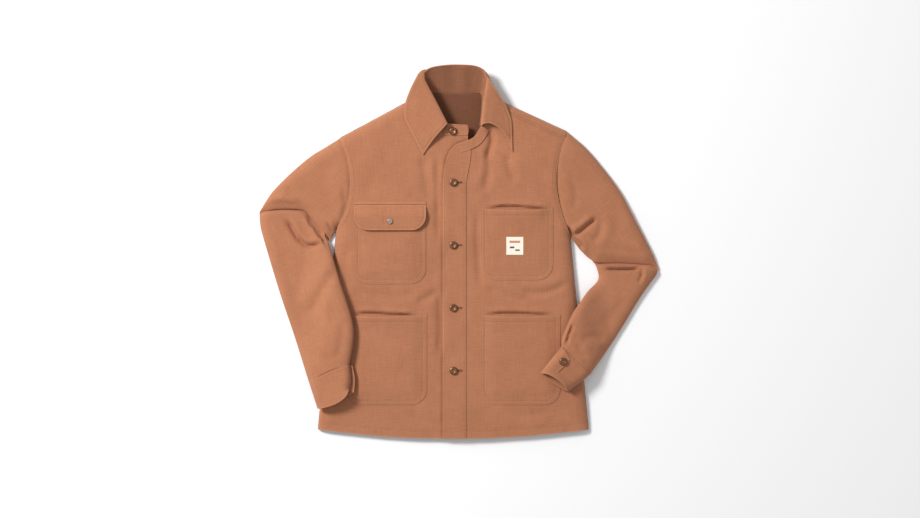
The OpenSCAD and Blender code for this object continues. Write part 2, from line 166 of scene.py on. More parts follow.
def straight(*points):
    """A line with sharp corners, in 4 mm steps."""
    parts = [smooth_path([a, b]) for a, b in zip(points, points[1:])]
    return np.vstack([part[:-1] for part in parts] + [parts[-1][-1:]])


def rectangle(x0, y0, x1, y1):
    """The outline of a rectangle."""
    return straight((x0, y0), (x1, y0), (x1, y1), (x0, y1), (x0, y0))[:-1]


def along(p, path):
    """Distance of each point from a path, how far along the path it is (0 to 1), and its side."""
    dist, place, signed = (np.empty(len(p)) for _ in range(3))
    a, ab = path[:-1], np.diff(path, axis=0)
    length = np.maximum(np.hypot(*ab.T), 1e-9)
    start = np.concatenate([[0], np.cumsum(length)])
    for i in range(0, len(p), 3000):
        ap = p[i:i + 3000, None] - a
        t = np.clip((ap * ab).sum(2) / length ** 2, 0, 1)
        gap = np.hypot(*np.moveaxis(ap - t[..., None] * ab, 2, 0))
        k, rows = gap.argmin(1), np.arange(len(gap))
        dist[i:i + 3000] = gap[rows, k]
        place[i:i + 3000] = (start[k] + t[rows, k] * length[k]) / start[-1]
        cross = ab[k, 0] * ap[rows, k, 1] - ab[k, 1] * ap[rows, k, 0]
        signed[i:i + 3000] = np.where(cross >= 0, 1, -1) * gap[rows, k]
    return dist, place, signed


def inside(p, loop):
    """True for the points inside a closed outline."""
    a, b = loop, np.roll(loop, -1, 0)
    y = p[:, 1:]
    across = (a[:, 1] > y) != (b[:, 1] > y)
    at = a[:, 0] + (y - a[:, 1]) * (b[:, 0] - a[:, 0]) / (b[:, 1] - a[:, 1] + 1e-12)
    return (across & (p[:, :1] < at)).sum(1) % 2 == 1


def closed(loop):
    """The outline with its first point again at its end."""
    return np.vstack([loop, loop[:1]])


def beside(path, off, ring=False):
    """The path moved off mm to its left."""
    run = np.roll(path, -1, 0) - np.roll(path, 1, 0) if ring else np.gradient(path, axis=0)
    run /= np.maximum(np.hypot(*run.T), 1e-9)[:, None]
    return path + off * np.column_stack([-run[:, 1], run[:, 0]])


def ease(x):
    """0 to 1 with soft ends."""
    x = np.clip(x, 0, 1)
    return x * x * (3 - 2 * x)


def rolled(d, width):
    """The profile of a rolled edge: 0 at the edge, 1 past the width."""
    return np.sqrt(1 - (1 - np.clip(d / width, 0, 1)) ** 2)


def cut(edge, pitch=4.0, holes=(), lines=(), rows=(0.8, 2.2, 4.2, 7.0)):
    """Points and triangles of a flat piece, closer together near its edge and its seam lines."""
    loops = [edge, *holes]
    joins, n = [], 0
    for loop in loops:
        joins += [(n + i, n + (i + 1) % len(loop)) for i in range(len(loop))]
        n += len(loop)

    def clear(p, gap, lines=()):
        p = p[inside(p, edge)]
        for hole in holes:
            p = p[~inside(p, hole)]
        for loop in loops:
            p = p[along(p, closed(loop))[0] > gap]
        for line in lines:
            p = p[along(p, line)[0] > 3.4]
        return p

    after = np.roll(edge, -1, 0)
    turn = 1 if (edge[:, 0] * after[:, 1] - edge[:, 1] * after[:, 0]).sum() > 0 else -1
    parts = [np.vstack(loops)]
    for row in rows:
        parts.append(clear(beside(edge, turn * row, ring=True), 0.8 * row, lines))
    lo, hi = edge.min(0), edge.max(0)
    gx, gy = np.meshgrid(np.arange(lo[0], hi[0], pitch), np.arange(lo[1], hi[1], pitch * 0.866))
    gx[1::2] += pitch / 2
    parts.append(clear(np.column_stack([gx.ravel(), gy.ravel()]), max(rows, default=0) + pitch / 2, lines))
    for line in lines:
        for off in (-1.8, 0, 1.8):
            parts.append(clear(beside(line, off), 1.0))
    points = np.vstack(parts)
    vectors = [Vector(p) for p in points]
    made, _, faces, _, _, _ = delaunay_2d_cdt(vectors, joins, [], 0, 1e-4)
    flat = np.array([v[:] for v in made])
    tris = np.array([f[:3] for f in faces])
    middle = flat[tris].mean(1)
    keep = inside(middle, edge)
    for hole in holes:
        keep &= ~inside(middle, hole)
    tris = tris[keep]
    used, tris = np.unique(tris, return_inverse=True)
    flat, tris = flat[used], tris.reshape(-1, 3)
    a, b, c = (flat[tris[:, i]] for i in range(3))
    area = (b - a)[:, 0] * (c - a)[:, 1] - (b - a)[:, 1] * (c - a)[:, 0]
    tris[area < 0] = tris[area < 0][:, ::-1]
    return flat, tris


def work_in(piece, name):
    """Make the piece's modifiers part of its mesh, shaded smooth."""
    made = bpy.data.meshes.new_from_object(piece.evaluated_get(bpy.context.evaluated_depsgraph_get()))
    piece.modifiers.clear()
    piece.data = made
    made.name = name
    made.polygons.foreach_set("use_smooth", [True] * len(made.polygons))


def finish_mesh(name, verts, faces, uv, wear, material, thick=CLOTH, merge=0.0):
    """A cloth object from points in mm, with its weave coordinates, its wear, and a thickness."""
    mesh = bpy.data.meshes.new(name)
    mesh.from_pydata((np.asarray(verts) * MM).tolist(), [], np.asarray(faces).tolist())
    corners = np.empty(len(mesh.loops), int)
    mesh.loops.foreach_get("vertex_index", corners)
    mesh.uv_layers.new(name="cloth").data.foreach_set("uv", (np.asarray(uv)[corners] * MM).ravel())
    mesh.attributes.new("wear", "FLOAT", "POINT").data.foreach_set("value", np.asarray(wear, float))
    if merge:
        work = bmesh.new()
        work.from_mesh(mesh)
        bmesh.ops.remove_doubles(work, verts=work.verts, dist=merge * MM)
        work.to_mesh(mesh)
        work.free()
    piece = bpy.data.objects.new(name, mesh)
    scene.collection.objects.link(piece)
    wall = piece.modifiers.new("thickness", "SOLIDIFY")
    wall.thickness = thick * MM
    wall.offset = -1
    work_in(piece, name)
    piece.data.set_sharp_from_angle(angle=math.radians(50))
    piece.data.materials.clear()
    piece.data.materials.append(material)
    return piece


def grained(flat, grain):
    """The cloth's own coordinates, with its warp turned by the grain's angle."""
    c, s = math.cos(math.radians(grain)), math.sin(math.radians(grain))
    return flat @ np.array([[c, -s], [s, c]])


def laid(p, height, above=0.0):
    """Flat points lifted to a height over the table, or a little above it."""
    return np.column_stack([p, height(p) + above])


def panel(name, edge, height, material, grain=0.0, thick=CLOTH, wear_width=2.2, **how):
    """A piece cut to an outline and laid at a height."""
    flat, tris = cut(edge, **how)
    d = along(flat, closed(edge))[0]
    return finish_mesh(name, laid(flat, height), tris, grained(flat, grain),
                       np.exp(-(d / wear_width) ** 2), material, thick)


def declare(nodes):
    """Hide the CAD nodes that a cloth piece stands for."""
    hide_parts(*nodes)


def ripple(p, size, seed):
    """Soft, even unevenness of about -1 to 1, with bumps of the given size in mm."""
    rng = np.random.default_rng(seed)
    total = np.zeros(len(p))
    for _ in range(7):
        angle, phase, scale = rng.uniform(0, math.tau), rng.uniform(0, math.tau), rng.uniform(0.7, 1.5)
        run = p[:, 0] * math.cos(angle) + p[:, 1] * math.sin(angle)
        total += np.sin(run * math.tau / size / 2 * scale + phase)
    return total / 3.5


def crease(p, path, depth, width, ridge=0.0, left=1):
    """A valley along a path that fades at its ends, with a ridge on one side."""
    dist, place, side = along(p, smooth_path(path))
    fade = ease(np.minimum(place, 1 - place) * 4.5)
    bank = np.exp(-((side * left - 2.2 * width) / (1.5 * width)) ** 2)
    return fade * (ridge * bank - depth * np.exp(-(dist / width) ** 2))


thread_pitch = 0.0013  # m, one thread of the weave as drawn


def duck(name, dark, light, sheen=0.12):
    """Plain-woven cotton duck, matt and slightly uneven: the threads show as fine streaks along
    the warp, the dye varies softly, and folded edges are rubbed paler. The weave is drawn at
    1.3 mm a thread, about twice its real size, so that it shows."""
    material, tree = new_material(name)
    cloth = add(tree, "UVMap", {"uv_map": "cloth"})
    place = add(tree, "TexCoord")
    cloud = add(tree, "TexNoise", {"Scale": 14.0, "Detail": 3.0, "Roughness": 0.5},
                {"Vector": place.outputs["Object"]})
    warp = add(tree, "Mapping", {"Scale": (420.0, 26.0, 1.0)}, {"Vector": cloth})
    slub = add(tree, "TexNoise", {"Scale": 1.0, "Detail": 3.0, "Roughness": 0.55}, {"Vector": warp})
    weft = add(tree, "Mapping", {"Scale": (40.0, 520.0, 1.0)}, {"Vector": cloth})
    pick = add(tree, "TexNoise", {"Scale": 1.0, "Detail": 2.0, "Roughness": 0.5}, {"Vector": weft})
    split = add(tree, "SeparateXYZ", links={0: cloth})
    waves = []
    for socket in ("X", "Y"):
        turns = add(tree, "Math", {"operation": "MULTIPLY", 1: math.tau / (2 * thread_pitch)},
                    {0: split.outputs[socket]})
        waves.append(add(tree, "Math", {"operation": "SINE"}, {0: turns}))
    weave = add(tree, "Math", {"operation": "MULTIPLY"}, {0: waves[0], 1: waves[1]})
    streaks = add(tree, "Math", {"operation": "ADD"}, {0: slub, 1: pick})
    drift = add(tree, "Math", {"operation": "MULTIPLY", 1: 0.35}, {0: cloud})
    mixed = add(tree, "Math", {"operation": "MULTIPLY_ADD", 1: 0.5}, {0: streaks, 2: drift})
    tone = add(tree, "MapRange", {"From Min": 0.42, "From Max": 0.93}, {"Value": mixed})
    dye = add(tree, "Mix", {"data_type": "RGBA", 6: srgb(dark), 7: srgb(light)}, {0: tone})
    rubbed = add(tree, "Attribute", {"attribute_name": "wear"})
    patchy = add(tree, "Math", {"operation": "MULTIPLY", 1: 0.20}, {0: rubbed.outputs["Fac"]})
    pale = add(tree, "Mix", {"data_type": "RGBA", 7: srgb("#D59C76")}, {0: patchy, 6: dye.outputs[2]})
    relief = add(tree, "Math", {"operation": "MULTIPLY_ADD", 1: 0.35}, {0: weave, 2: streaks})
    bump = add(tree, "Bump", {"Strength": 0.5, "Distance": 0.0005}, {"Height": relief})
    shader = add(tree, "BsdfPrincipled",
                 {"Roughness": 0.9, "IOR": 1.5, "Specular IOR Level": 0.22, "Sheen Weight": sheen,
                  "Sheen Roughness": 0.55}, {"Base Color": pale.outputs[2], "Normal": bump})
    add(tree, "OutputMaterial", links={"Surface": shader})
    return material


duck_face = duck("cotton_duck_face", "#A3694B", "#B97C5A")
# The back's wrong side gets darker colours than the face: painted shade for the inside seen through the
# open neck, on the same duck
duck_inside_painted_shade = duck("cotton_duck_wrong_side_painted_shade", "#6B432E", "#7A4E38", sheen=0.05)

neck = {"right": (-77.85, 357.78), "left": (52.15, 357.78)}
shoulder = {"right": (-267.35, 255.78), "left": (241.65, 270.78)}
armpit = {"right": (-274.85, 53.78), "left": (249.15, 38.78)}
hem_corner = {"right": (-316.35, -399.22), "left": (290.65, -399.22)}
armhole = pair(
    [shoulder["right"], (-251.2, 210.0), (-244.1, 154.8), (-252.9, 98.0), armpit["right"]],
    [shoulder["left"], (224.3, 216.0), (218.4, 154.8), (229.6, 92.0), armpit["left"]])
hem_line = smooth_path([hem_corner["right"], (-165.0, -414.2), (MIDDLE_X, -419.0), (139.0, -414.2),
                        hem_corner["left"]])
side_seam = {side: smooth_path([armpit[side], hem_corner[side]]) for side in ("right", "left")}
shoulder_line = {side: smooth_path([neck[side], shoulder[side]]) for side in ("right", "left")}
body_edge = outline(armhole["right"], side_seam["right"], hem_line, side_seam["left"][::-1],
                    armhole["left"][::-1], shoulder_line["left"][::-1],
                    [neck["left"], neck["right"]], shoulder_line["right"])


def to_edges(p):
    """Distance to the side seams and to the shoulders."""
    sides = np.minimum(along(p, side_seam["right"])[0], along(p, side_seam["left"])[0])
    shoulders = np.minimum(along(p, shoulder_line["right"])[0], along(p, shoulder_line["left"])[0])
    return sides, shoulders


def back_height(p):
    """Flat on the table, and lifted to the seams along the sides and shoulders."""
    sides, shoulders = to_edges(p)
    lift = 1 - rolled(np.minimum(sides, shoulders), 9.0)
    z = CLOTH + SLACK + (SIDE_Z - CLOTH - SLACK) * lift + 0.3 * ripple(p, 70, 3) * (1 - lift)
    return np.maximum(z, CLOTH + 0.05)


back = panel("back_cloth", body_edge, back_height, duck_inside_painted_shade, pitch=6.0)
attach(back, "torso")
declare(["back_panel", "left_shoulder_seam", "right_shoulder_seam"])

# ---------------------------------------------------------------- Fronts
# Two fronts of the same duck, the wearer's left one over the right one. They lie some 17 mm
# above the back, roll down to the side and shoulder seams, and carry soft drag lines.
RIGHT_TOP = 18.1  # mm, top of the right front's cloth in the middle of the body
PLY = 1.5  # mm, each further layer above it
hip_mouth_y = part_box("right_hip_pocket")[1].y / MM
chest_mouth_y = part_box("left_chest_pocket")[1].y / MM
button_names = ["front_button_1", "front_button_2", "front_button_3", "front_button_4", "neck_button"]
button_spots = [sum(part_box(name), Vector()) / 2 / MM for name in button_names]

# Each fold is its path, its depth and width, and the height of the ridge beside it, all in mm; a
# last -1 puts the ridge on the path's right
drag_lines = [
    ([(-52, 232), (-48, 180), (-47, 100), (-44, 10)], 4.4, 9, 0.8),
    ([(-44, -80), (-42, -160), (-44, -240)], 4.4, 8, 0.6),
    ([(-84, 222), (-74, 170), (-64, 100)], 3.2, 12, 1.6),
    ([(-150, 230), (-190, 170), (-205, 120)], 1.0, 16, 0.8, -1),
    ([(62, 238), (66, 190), (58, 130)], 3.4, 9, 1.8, -1),
    ([(106, 222), (114, 185), (130, 152)], 3.2, 9, 1.6),
    ([(60, 280), (70, 268), (74, 250), (68, 226), (64, 204)], 6.5, 6.5, 0.0),
    ([(42, 104), (41, 40), (44, -30), (50, -84)], 3.0, 8, 0.8),
    ([(36, 240), (44, 205), (42, 165)], 1.4, 7, 0.8),
    ([(150, 205), (176, 172), (200, 120)], 1.2, 14, 1.0),
    ([(132, -84), (190, -92), (250, -68)], 3.0, 8, 2.0),
    ([(56, -76), (110, -98), (160, -112)], 2.4, 9, 1.2),
    ([(-250, 22), (-256, -40), (-250, -96)], 1.6, 9, 1.2),
    ([(-230, -88), (-160, -100), (-90, -92)], 1.4, 10, 1.0, -1),
    ([(-98, -112), (-72, -104), (-46, -84)], 2.6, 9, 1.4),
    ([(-110, -352), (-80, -378), (-30, -392)], 1.4, 10, 1.0),
    ([(100, -352), (150, -366), (210, -358)], 1.4, 10, 1.0, -1),
    ([(252, -100), (262, -190), (262, -300)], 1.8, 10, 1.0)]
mouth_folds = [
    ([(58, chest_mouth_y - 1), (105, chest_mouth_y + 3), (150, chest_mouth_y + 1),
      (207, chest_mouth_y - 4)], 5.0, 3.6, 3.4),
    ([(-240, hip_mouth_y + 1), (-205, hip_mouth_y + 3), (-150, hip_mouth_y),
      (-92, hip_mouth_y - 2)], 5.0, 3.6, 3.4),
    ([(56, hip_mouth_y + 1), (110, hip_mouth_y + 3), (170, hip_mouth_y + 1),
      (212, hip_mouth_y - 1)], 4.6, 3.6, 3.2)]


def lie(p, mouths=True):
    """Top of the right front's cloth, with the folds of everything that lies on it."""
    sides, shoulders = to_edges(p)
    roll = rolled(sides, 30) * rolled(shoulders, 24)
    edge_z = SIDE_Z + CLOTH + SLACK
    z = edge_z + (RIGHT_TOP - edge_z) * roll
    above_hem = p[:, 1] + 419 - 20 * ((p[:, 0] - MIDDLE_X) / 303) ** 2
    z -= 4.5 * (1 - ease(above_hem / 80)) * roll
    z -= 0.7 * np.exp(-((above_hem - 16) / 1.8) ** 2) * roll
    for side in ("right", "left"):
        z -= 1.5 * np.exp(-(along(p, armhole[side])[0] / 4.0) ** 2)
    quiet = np.ones(len(p))
    for spot in button_spots:
        quiet *= 1 - np.exp(-((p - np.array(spot[:2])) ** 2).sum(1) / 20 ** 2)
    soft = 1.5 * ripple(p, 150, 11) + 0.6 * ripple(p, 62, 12) + 0.25 * ripple(p, 26, 13)
    for fold in drag_lines + (mouth_folds if mouths else []):
        soft += crease(p, *fold)
    return z + soft * quiet * (0.25 + 0.75 * roll)


under_edge_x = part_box("right_front")[1].x / MM
front_edge_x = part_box("left_front")[0].x / MM
open_edge = smooth_path([(front_edge_x, 149.8), (-32, 188), (-23, 221), (-7, 240), (14, 248.5),
                         (34, 259), (49, 283)])
right_front_edge = outline(
    straight((under_edge_x, -418.6), (under_edge_x, 285)), straight((under_edge_x, 285), (-25.4, 287.8)),
    straight((-25.4, 287.8), (-60, 352), neck["right"]), shoulder_line["right"], armhole["right"],
    side_seam["right"], [*hem_line[hem_line[:, 0] < under_edge_x - 2], (under_edge_x, -418.6)])
free_edge = np.vstack([straight((front_edge_x, -416), (front_edge_x, 149)), open_edge])
right_front = panel("right_front_cloth", right_front_edge,
                    lambda p: lie(p) - 2.4 * np.exp(-(along(p, free_edge)[0] / 2.8) ** 2), duck_face,
                    lines=[free_edge[2:-12]])
left_front_edge = outline(
    [(front_edge_x, -418.8), (front_edge_x, 149.8)], open_edge,
    straight((49, 283), (55, 335), neck["left"]), shoulder_line["left"], armhole["left"], side_seam["left"],
    [*hem_line[hem_line[:, 0] > front_edge_x + 2][::-1], (front_edge_x, -418.8)])


def left_lie(p, mouths=True):
    """Top of the left front: over the right one by the closing, and level with it elsewhere."""
    sides, shoulders = to_edges(p)
    z = lie(p, mouths) + PLY * rolled(sides, 30) * rolled(shoulders, 24)
    dist = along(p, beside(shoulder_line["left"], -17))[0]
    return z + 0.8 * ease((17 - shoulders) / 3) * ease(shoulders / 8) - 1.3 * np.exp(-(dist / 2.0) ** 2)


slit_length = 19.0  # mm, from the post to the buttonhole's far end
slit_gap = 1.7
eyelet = 3.4  # mm, radius of its round end


def buttonhole(x, y, turn=0.0):
    """A keyhole buttonhole's outline, its round end at the post."""
    ring = [(eyelet * math.cos(a), eyelet * math.sin(a)) for a in np.linspace(0.26, math.tau - 0.26, 15)]
    points = np.array([(slit_length, -slit_gap / 2), (slit_length, slit_gap / 2), *ring])
    c, s = math.cos(turn), math.sin(turn)
    return points @ np.array([[c, s], [-s, c]]) + (x, y)


holes = [buttonhole(spot.x, spot.y) for spot in button_spots[:4]]
left_front = panel("left_front_cloth", left_front_edge, left_lie, duck_face, holes=holes,
                   lines=[beside(shoulder_line["left"], -17)[2:-2]])
for piece, edge, node in ((right_front, right_front_edge, "right_front"),
                          (left_front, left_front_edge, "left_front")):
    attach(piece, "torso")
    declare([node])

# ---------------------------------------------------------------- Front closing
# A buttonhole band 52 mm wide is stitched on the left front, a facing behind the right one
# carries the tack buttons, and both neck band ends show because the neck is undone.
stitch_x = 16.15
band_edge = outline(
    [(front_edge_x, -418.8), (front_edge_x, 149.8)],
    [*open_edge[open_edge[:, 0] < 12], (14, 248)],
    [(14, 248), (26, 228), (stitch_x + 7, 196), (stitch_x, 160)],
    [(stitch_x, 160), (stitch_x, -418.6)], straight((stitch_x, -418.6), (front_edge_x, -418.8)))


def on_left(plies, mouths=True):
    """The height of a piece that many layers above the left front."""
    return lambda p: left_lie(p, mouths) + plies * PLY


def on_right(plies, mouths=True):
    """The height of a piece that many layers above the right front."""
    return lambda p: lie(p, mouths) + plies * PLY


band = panel("buttonhole_band_cloth", band_edge,
             lambda p: left_lie(p) + PLY - 0.5 * np.exp(-(np.abs(p[:, 0] - stitch_x + 2) / 1.3) ** 2),
             duck_face, holes=holes, rows=(0.8, 2.2, 4.2))
facing_edge = rectangle(-45.85, -418, under_edge_x - 1, 254)
facing = panel("button_facing_cloth", facing_edge, on_right(-1), duck_face, pitch=6.0)
right_end_edge = outline([(-36, 262), (16, 261.5)], [(16, 261.5), (20.5, 265), (20.5, 280), (16, 285)],
                         [(16, 285), (-24, 288)], straight((-24, 288), (-36, 262)))
right_end = panel("right_band_end_cloth", right_end_edge, on_right(1), duck_face, pitch=3.0)
turned = beside(open_edge[open_edge[:, 0] > -2], -21)
left_end_edge = outline(open_edge[open_edge[:, 0] > -2], [(49, 283), turned[-1]],
                        turned[::-1], [turned[0], open_edge[open_edge[:, 0] > -2][0]])
left_end = panel("left_band_end_cloth", left_end_edge, on_left(1.6), duck_face, pitch=3.0)
for piece, edge, node, under in ((band, band_edge, "buttonhole_band", "left_front_cloth"),
                                 (facing, facing_edge, "button_band", "right_front_cloth"),
                                 (right_end, right_end_edge, "right_band_end", "right_front_cloth"),
                                 (left_end, left_end_edge, "left_band_end", "left_front_cloth")):
    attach(piece, "torso")
    declare([node])

# ---------------------------------------------------------------- Collar
# A shirt collar in two layers: the stand rises from the neck seam to the fold, the fall hangs
# behind the neck, and two pointed leaves lie out over the fronts.
collar_thick = 1.9
neck_seam = [(-22, 284, 19.2), (-46, 318, 18.4), (-66, 344, 14), (-72, 355, 7), (-58, 357.4, 3.4),
             (-12.8, 357.8, 2.4), (38, 357.4, 3.4), (49, 355, 7), (51, 342, 14), (49, 310, 18.6),
             (46, 284, 20.2)]
fold_line = [(-25.4, 288, 32.6), (-53, 342, 34.4), (-76, 386, 35.6), (-77, 402, 36.6), (-62, 412, 38),
             (-36, 416.5, 39.6), (-4, 418.2, 40.4), (30, 416.5, 40), (48, 411, 38.4), (59, 401, 36.8),
             (58.5, 386, 35.6), (54, 342, 34.6), (49, 283, 33)]


def ruled(name, low, high, count, steps, bulge, material, thick, ruck=None):
    """Cloth stretched between two edges, bowed out along its middle."""
    a, b = smooth_path(low, count=count), smooth_path(high, count=count)
    t = np.linspace(0, 1, steps)[None, :, None]
    grid = a[:, None] * (1 - t) + b[:, None] * t
    out = np.cross(np.gradient(a * 0.5 + b * 0.5, axis=0), b - a)
    out /= np.linalg.norm(out, axis=1)[:, None]
    arch = bulge * 4 * t * (1 - t)
    along_run = np.concatenate([[0], np.cumsum(np.linalg.norm(np.diff((a + b) / 2, axis=0), axis=1))])
    across_run = np.linspace(0, np.linalg.norm(b - a, axis=1).mean(), steps)
    if ruck:
        arch = arch + ruck(along_run[:, None], across_run[None, :], grid)[..., None]
    grid = grid + out[:, None] * arch
    index = np.arange(count * steps).reshape(count, steps)
    faces = np.stack([index[:-1, :-1], index[1:, :-1], index[1:, 1:], index[:-1, 1:]], -1).reshape(-1, 4)
    uv = np.stack(np.broadcast_arrays(along_run[:, None], across_run[None, :]), -1).reshape(-1, 2)
    rub = np.exp(-((across_run[-1] - uv[:, 1]) / 3) ** 2)
    piece = finish_mesh(name, grid.reshape(-1, 3), faces, uv, rub, material, thick)
    tall = np.linalg.norm(b - a, axis=1)
    cloth_area = ((tall[1:] + tall[:-1]) / 2 * np.diff(along_run)).sum() * MM * MM
    return piece, (along_run[-1] * MM, tall.max() * MM), cloth_area


def slanting_pleats(run, up, grid):
    """Short pleats in the stand where it bends behind the neck, and the seam's own pull."""
    x = grid[..., 0]
    back_of_neck = ease((grid[..., 1] - 352) / 10)
    heavy = np.exp(-((x - 30) / 34) ** 2) + 0.4
    pull = np.sin(run / 10.5 + up / 17) * 1.6 + 0.9 * np.sin(run / 6.3 + up / 11 + 1.2)
    fade = np.sin(np.clip(up / up.max(), 0, 1) * math.pi) ** 0.6
    return back_of_neck * heavy * fade * pull


# The stand gets a darker duck than the face: painted shade on the stand, which is the same cloth as the
# rest
duck_stand_painted_shade = duck("cotton_duck_stand_painted_shade", "#8E5A3F", "#A16B4D")
stand, stand_flat, stand_area = ruled("collar_stand_cloth", neck_seam, fold_line, 150, 22, -2.0,
                                      duck_stand_painted_shade, collar_thick, slanting_pleats)
fall_edge = [(-93, 376, 9), (-84, 396, 4), (-60, 402, 2.6), (-12, 404, 2.4), (34, 402, 2.6), (60, 397, 4),
             (74, 378, 9)]
fall_fold = [(-77, 390, 35.6), (-77.5, 402, 36.8), (-62, 412.6, 38.4), (-36, 417.3, 40), (-4, 419, 40.8),
             (30, 417.3, 40.4), (48, 411.6, 38.8), (59.5, 401, 37), (59, 390, 35.6)]
fall, fall_flat, fall_area = ruled("collar_fall_cloth", fall_fold, fall_edge, 80, 12, 3.0, duck_face,
                                   collar_thick)
for piece, node, flat, area in ((stand, "collar_stand", stand_flat, stand_area),
                                (fall, "collar_fall", fall_flat, fall_area)):
    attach(piece, "torso")
    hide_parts(node)

leaf_fold = pair(
    [(-25.4, 288), (-53, 342), (-76, 386), (-74, 409)],
    [(46, 409), (60, 391), (54, 342), (49, 281)])
leaf_edge = {
    "right": outline(leaf_fold["right"], [(-74, 409), (-84, 406), (-92, 398)],
                     [(-92, 398), (-110, 362), (-121, 330), (-122, 300), (-104, 262), (-81, 218)],
                     [(-81, 218), (-56, 254), (-25.4, 288)]),
    "left": outline(leaf_fold["left"], [(49, 281), (56, 287), (74, 286.5), (99, 268), (120, 224)],
                    [(120, 224), (119, 262), (117, 296), (108, 322), (92, 350), (64, 391)],
                    [(64, 391), (58, 403), (46, 409)])}


def leaf_height(side):
    """Down from the leaf's fold to the front, and a little thicker along its stitched edge."""
    cloth_below = on_right(1.2, False) if side == "right" else on_left(0.8, False)

    def height(p):
        out = along(p, leaf_fold[side])[0]
        z = 33.4 + 2.8 * rolled(out, 8) - 16.0 * ease((out - 5) / 86)
        z += 0.9 * ripple(p, 90, 21) * ease(out / 30)
        rest = cloth_below(p) + collar_thick
        return np.maximum(z, rest) + 0.35 * np.exp(-((along(p, closed(leaf_edge[side]))[0] - 7) / 3) ** 2)
    return height


for side in ("right", "left"):
    leaf = panel(side + "_collar_leaf_cloth", leaf_edge[side], leaf_height(side), duck_face,
                 grain=-26 if side == "right" else 4, thick=collar_thick, pitch=3.2, wear_width=3.0)
    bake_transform(leaf)
    declare([side + "_collar_leaf"])

# ---------------------------------------------------------------- Pockets
# Four patch pockets of the same duck with round bottom corners, sewn down by a double row along
# the sides and bottom. Their hemmed mouths stand a little open.
ROW = (2.2, 8.6)  # mm, the two rows of stitching, in from the pocket's edge
mouth_turn = 15.0


def pouch(x0, x1, top, bottom, radius):
    """The sewn edge of a pocket, from one mouth corner down and round to the other."""
    turn = [(-math.cos(a) * radius, -math.sin(a) * radius) for a in np.linspace(0, math.pi / 2, 9)]
    left = [(x0 + radius + x, bottom + radius + y) for x, y in turn]
    right = [(x1 - radius - x, bottom + radius + y) for x, y in turn[::-1]]
    return straight((x0, top), *left, *right, (x1, top))


def pocket_height(sewn, below, gape, gape_at, gape_width):
    """Flat along the stitching, softly full inside it, and standing open at the mouth."""
    top = sewn[:, 1].max()

    def height(p):
        d = along(p, sewn)[0]
        lens = np.exp(-((p[:, 0] - gape_at) / gape_width) ** 2) * ease(d / 26)
        z = below(p) + PLY + 2.4 * ease((d - 8) / 26) + gape * lens * np.exp(-((top - p[:, 1]) / 26) ** 2)
        for row in ROW:
            z -= 0.45 * np.exp(-((d - row) / 0.9) ** 2)
        z -= 0.5 * np.exp(-((top - mouth_turn - p[:, 1]) / 1.1) ** 2)
        return z + 0.55 * ripple(p, 70, int(top) % 97) * ease(d / 20)
    return height


pocket_r = 34.0
pockets = {}
for name, gape, gape_at, gape_width in (("right_chest", 0.6, -150, 60), ("left_chest", 4.2, 132, 52),
                                        ("right_hip", 4.2, -178, 52), ("left_hip", 3.8, 128, 54)):
    low, high = (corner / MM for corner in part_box(name + "_pocket"))
    sewn = pouch(low.x, high.x, high.y, low.y, pocket_r)
    dip = gape * 0.8
    mouth = smooth_path([(high.x, high.y), (gape_at + gape_width * 0.7, high.y - dip),
                         (gape_at - gape_width * 0.5, high.y - dip), (low.x, high.y)])
    edge = outline(sewn, mouth)
    below = (on_right if name.startswith("right") else on_left)(0, False)
    height = pocket_height(sewn, below, gape, gape_at, gape_width)
    rows = [beside(sewn, row)[1:-1] for row in ROW]
    hem_row = smooth_path([(low.x + 10, high.y - mouth_turn), (high.x - 10, high.y - mouth_turn)])
    pocket = panel(name + "_pocket_cloth", edge, height, duck_face, pitch=4.0, rows=(0.8, 5.0),
                   lines=rows + [hem_row])
    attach(pocket, "torso")
    declare([name + "_pocket"])
    pockets[name] = {"sewn": sewn, "height": height, "rows": rows, "hem": hem_row}

# ---------------------------------------------------------------- Pocket flap
# The right chest pocket's flap, two layers with round corners, is sewn in above the mouth under
# a narrow seam strip, and closes with a press stud.
flap_low, flap_high = (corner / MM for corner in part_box("pocket_flap"))
flap_r = 33.0
flap_sewn = pouch(flap_low.x, flap_high.x, flap_high.y, flap_low.y, flap_r)
flap_edge = outline(flap_sewn, [(flap_high.x, flap_high.y), (flap_low.x, flap_high.y)])
flap_thick = 1.6
stud_z = 25.4  # mm, the flap's cloth has to clear the stud
flap_top_z = 29.5


def flap_height(p):
    """From the seam on the front, over the pocket's mouth, to the press stud."""
    down = ease((flap_high.y - p[:, 1]) / 26)
    base = lie(p, False) * (1 - down) + np.maximum(pockets["right_chest"]["height"](p), stud_z) * down
    d = along(p, flap_sewn)[0]
    z = base + 1.6 + 2.0 * down + 0.5 * ripple(p, 60, 5) * down
    z -= 0.4 * np.exp(-((d - ROW[0] - 3) / 0.9) ** 2)
    return np.minimum(z, flap_top_z)


flap = panel("chest_flap_cloth", flap_edge, flap_height, duck_face, pitch=3.4, thick=flap_thick,
             rows=(0.8, 2.2), lines=[beside(flap_sewn, ROW[0] + 3)[2:-2]])
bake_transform(flap)
declare(["pocket_flap"])
strip_low, strip_high = (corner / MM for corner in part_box("flap_seam"))
strip_edge = rectangle(strip_low.x, strip_low.y, strip_high.x, strip_high.y)
strip = panel("flap_seam_strip", strip_edge, on_right(0.9), duck_face, pitch=2.6, rows=(0.8,), grain=90)
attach(strip, "torso")
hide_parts("flap_seam")

# ---------------------------------------------------------------- Label
# A cream damask-woven label with a small made-up motif of bars, sewn on the left chest pocket,
# below its mouth.
label_low, label_high = (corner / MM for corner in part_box("woven_label"))
label_edge = rectangle(label_low.x, label_low.y, label_high.x, label_high.y)
label_cloth, tree = new_material("cream_woven_damask")
spot = add(tree, "TexCoord")
middle = (-(label_low.x + label_high.x) / 2 * MM, -(label_low.y + label_high.y) / 2 * MM, 0.0)
centre = add(tree, "Mapping", {"Location": middle}, {"Vector": spot.outputs["Object"]})
parts = add(tree, "SeparateXYZ", links={0: centre})


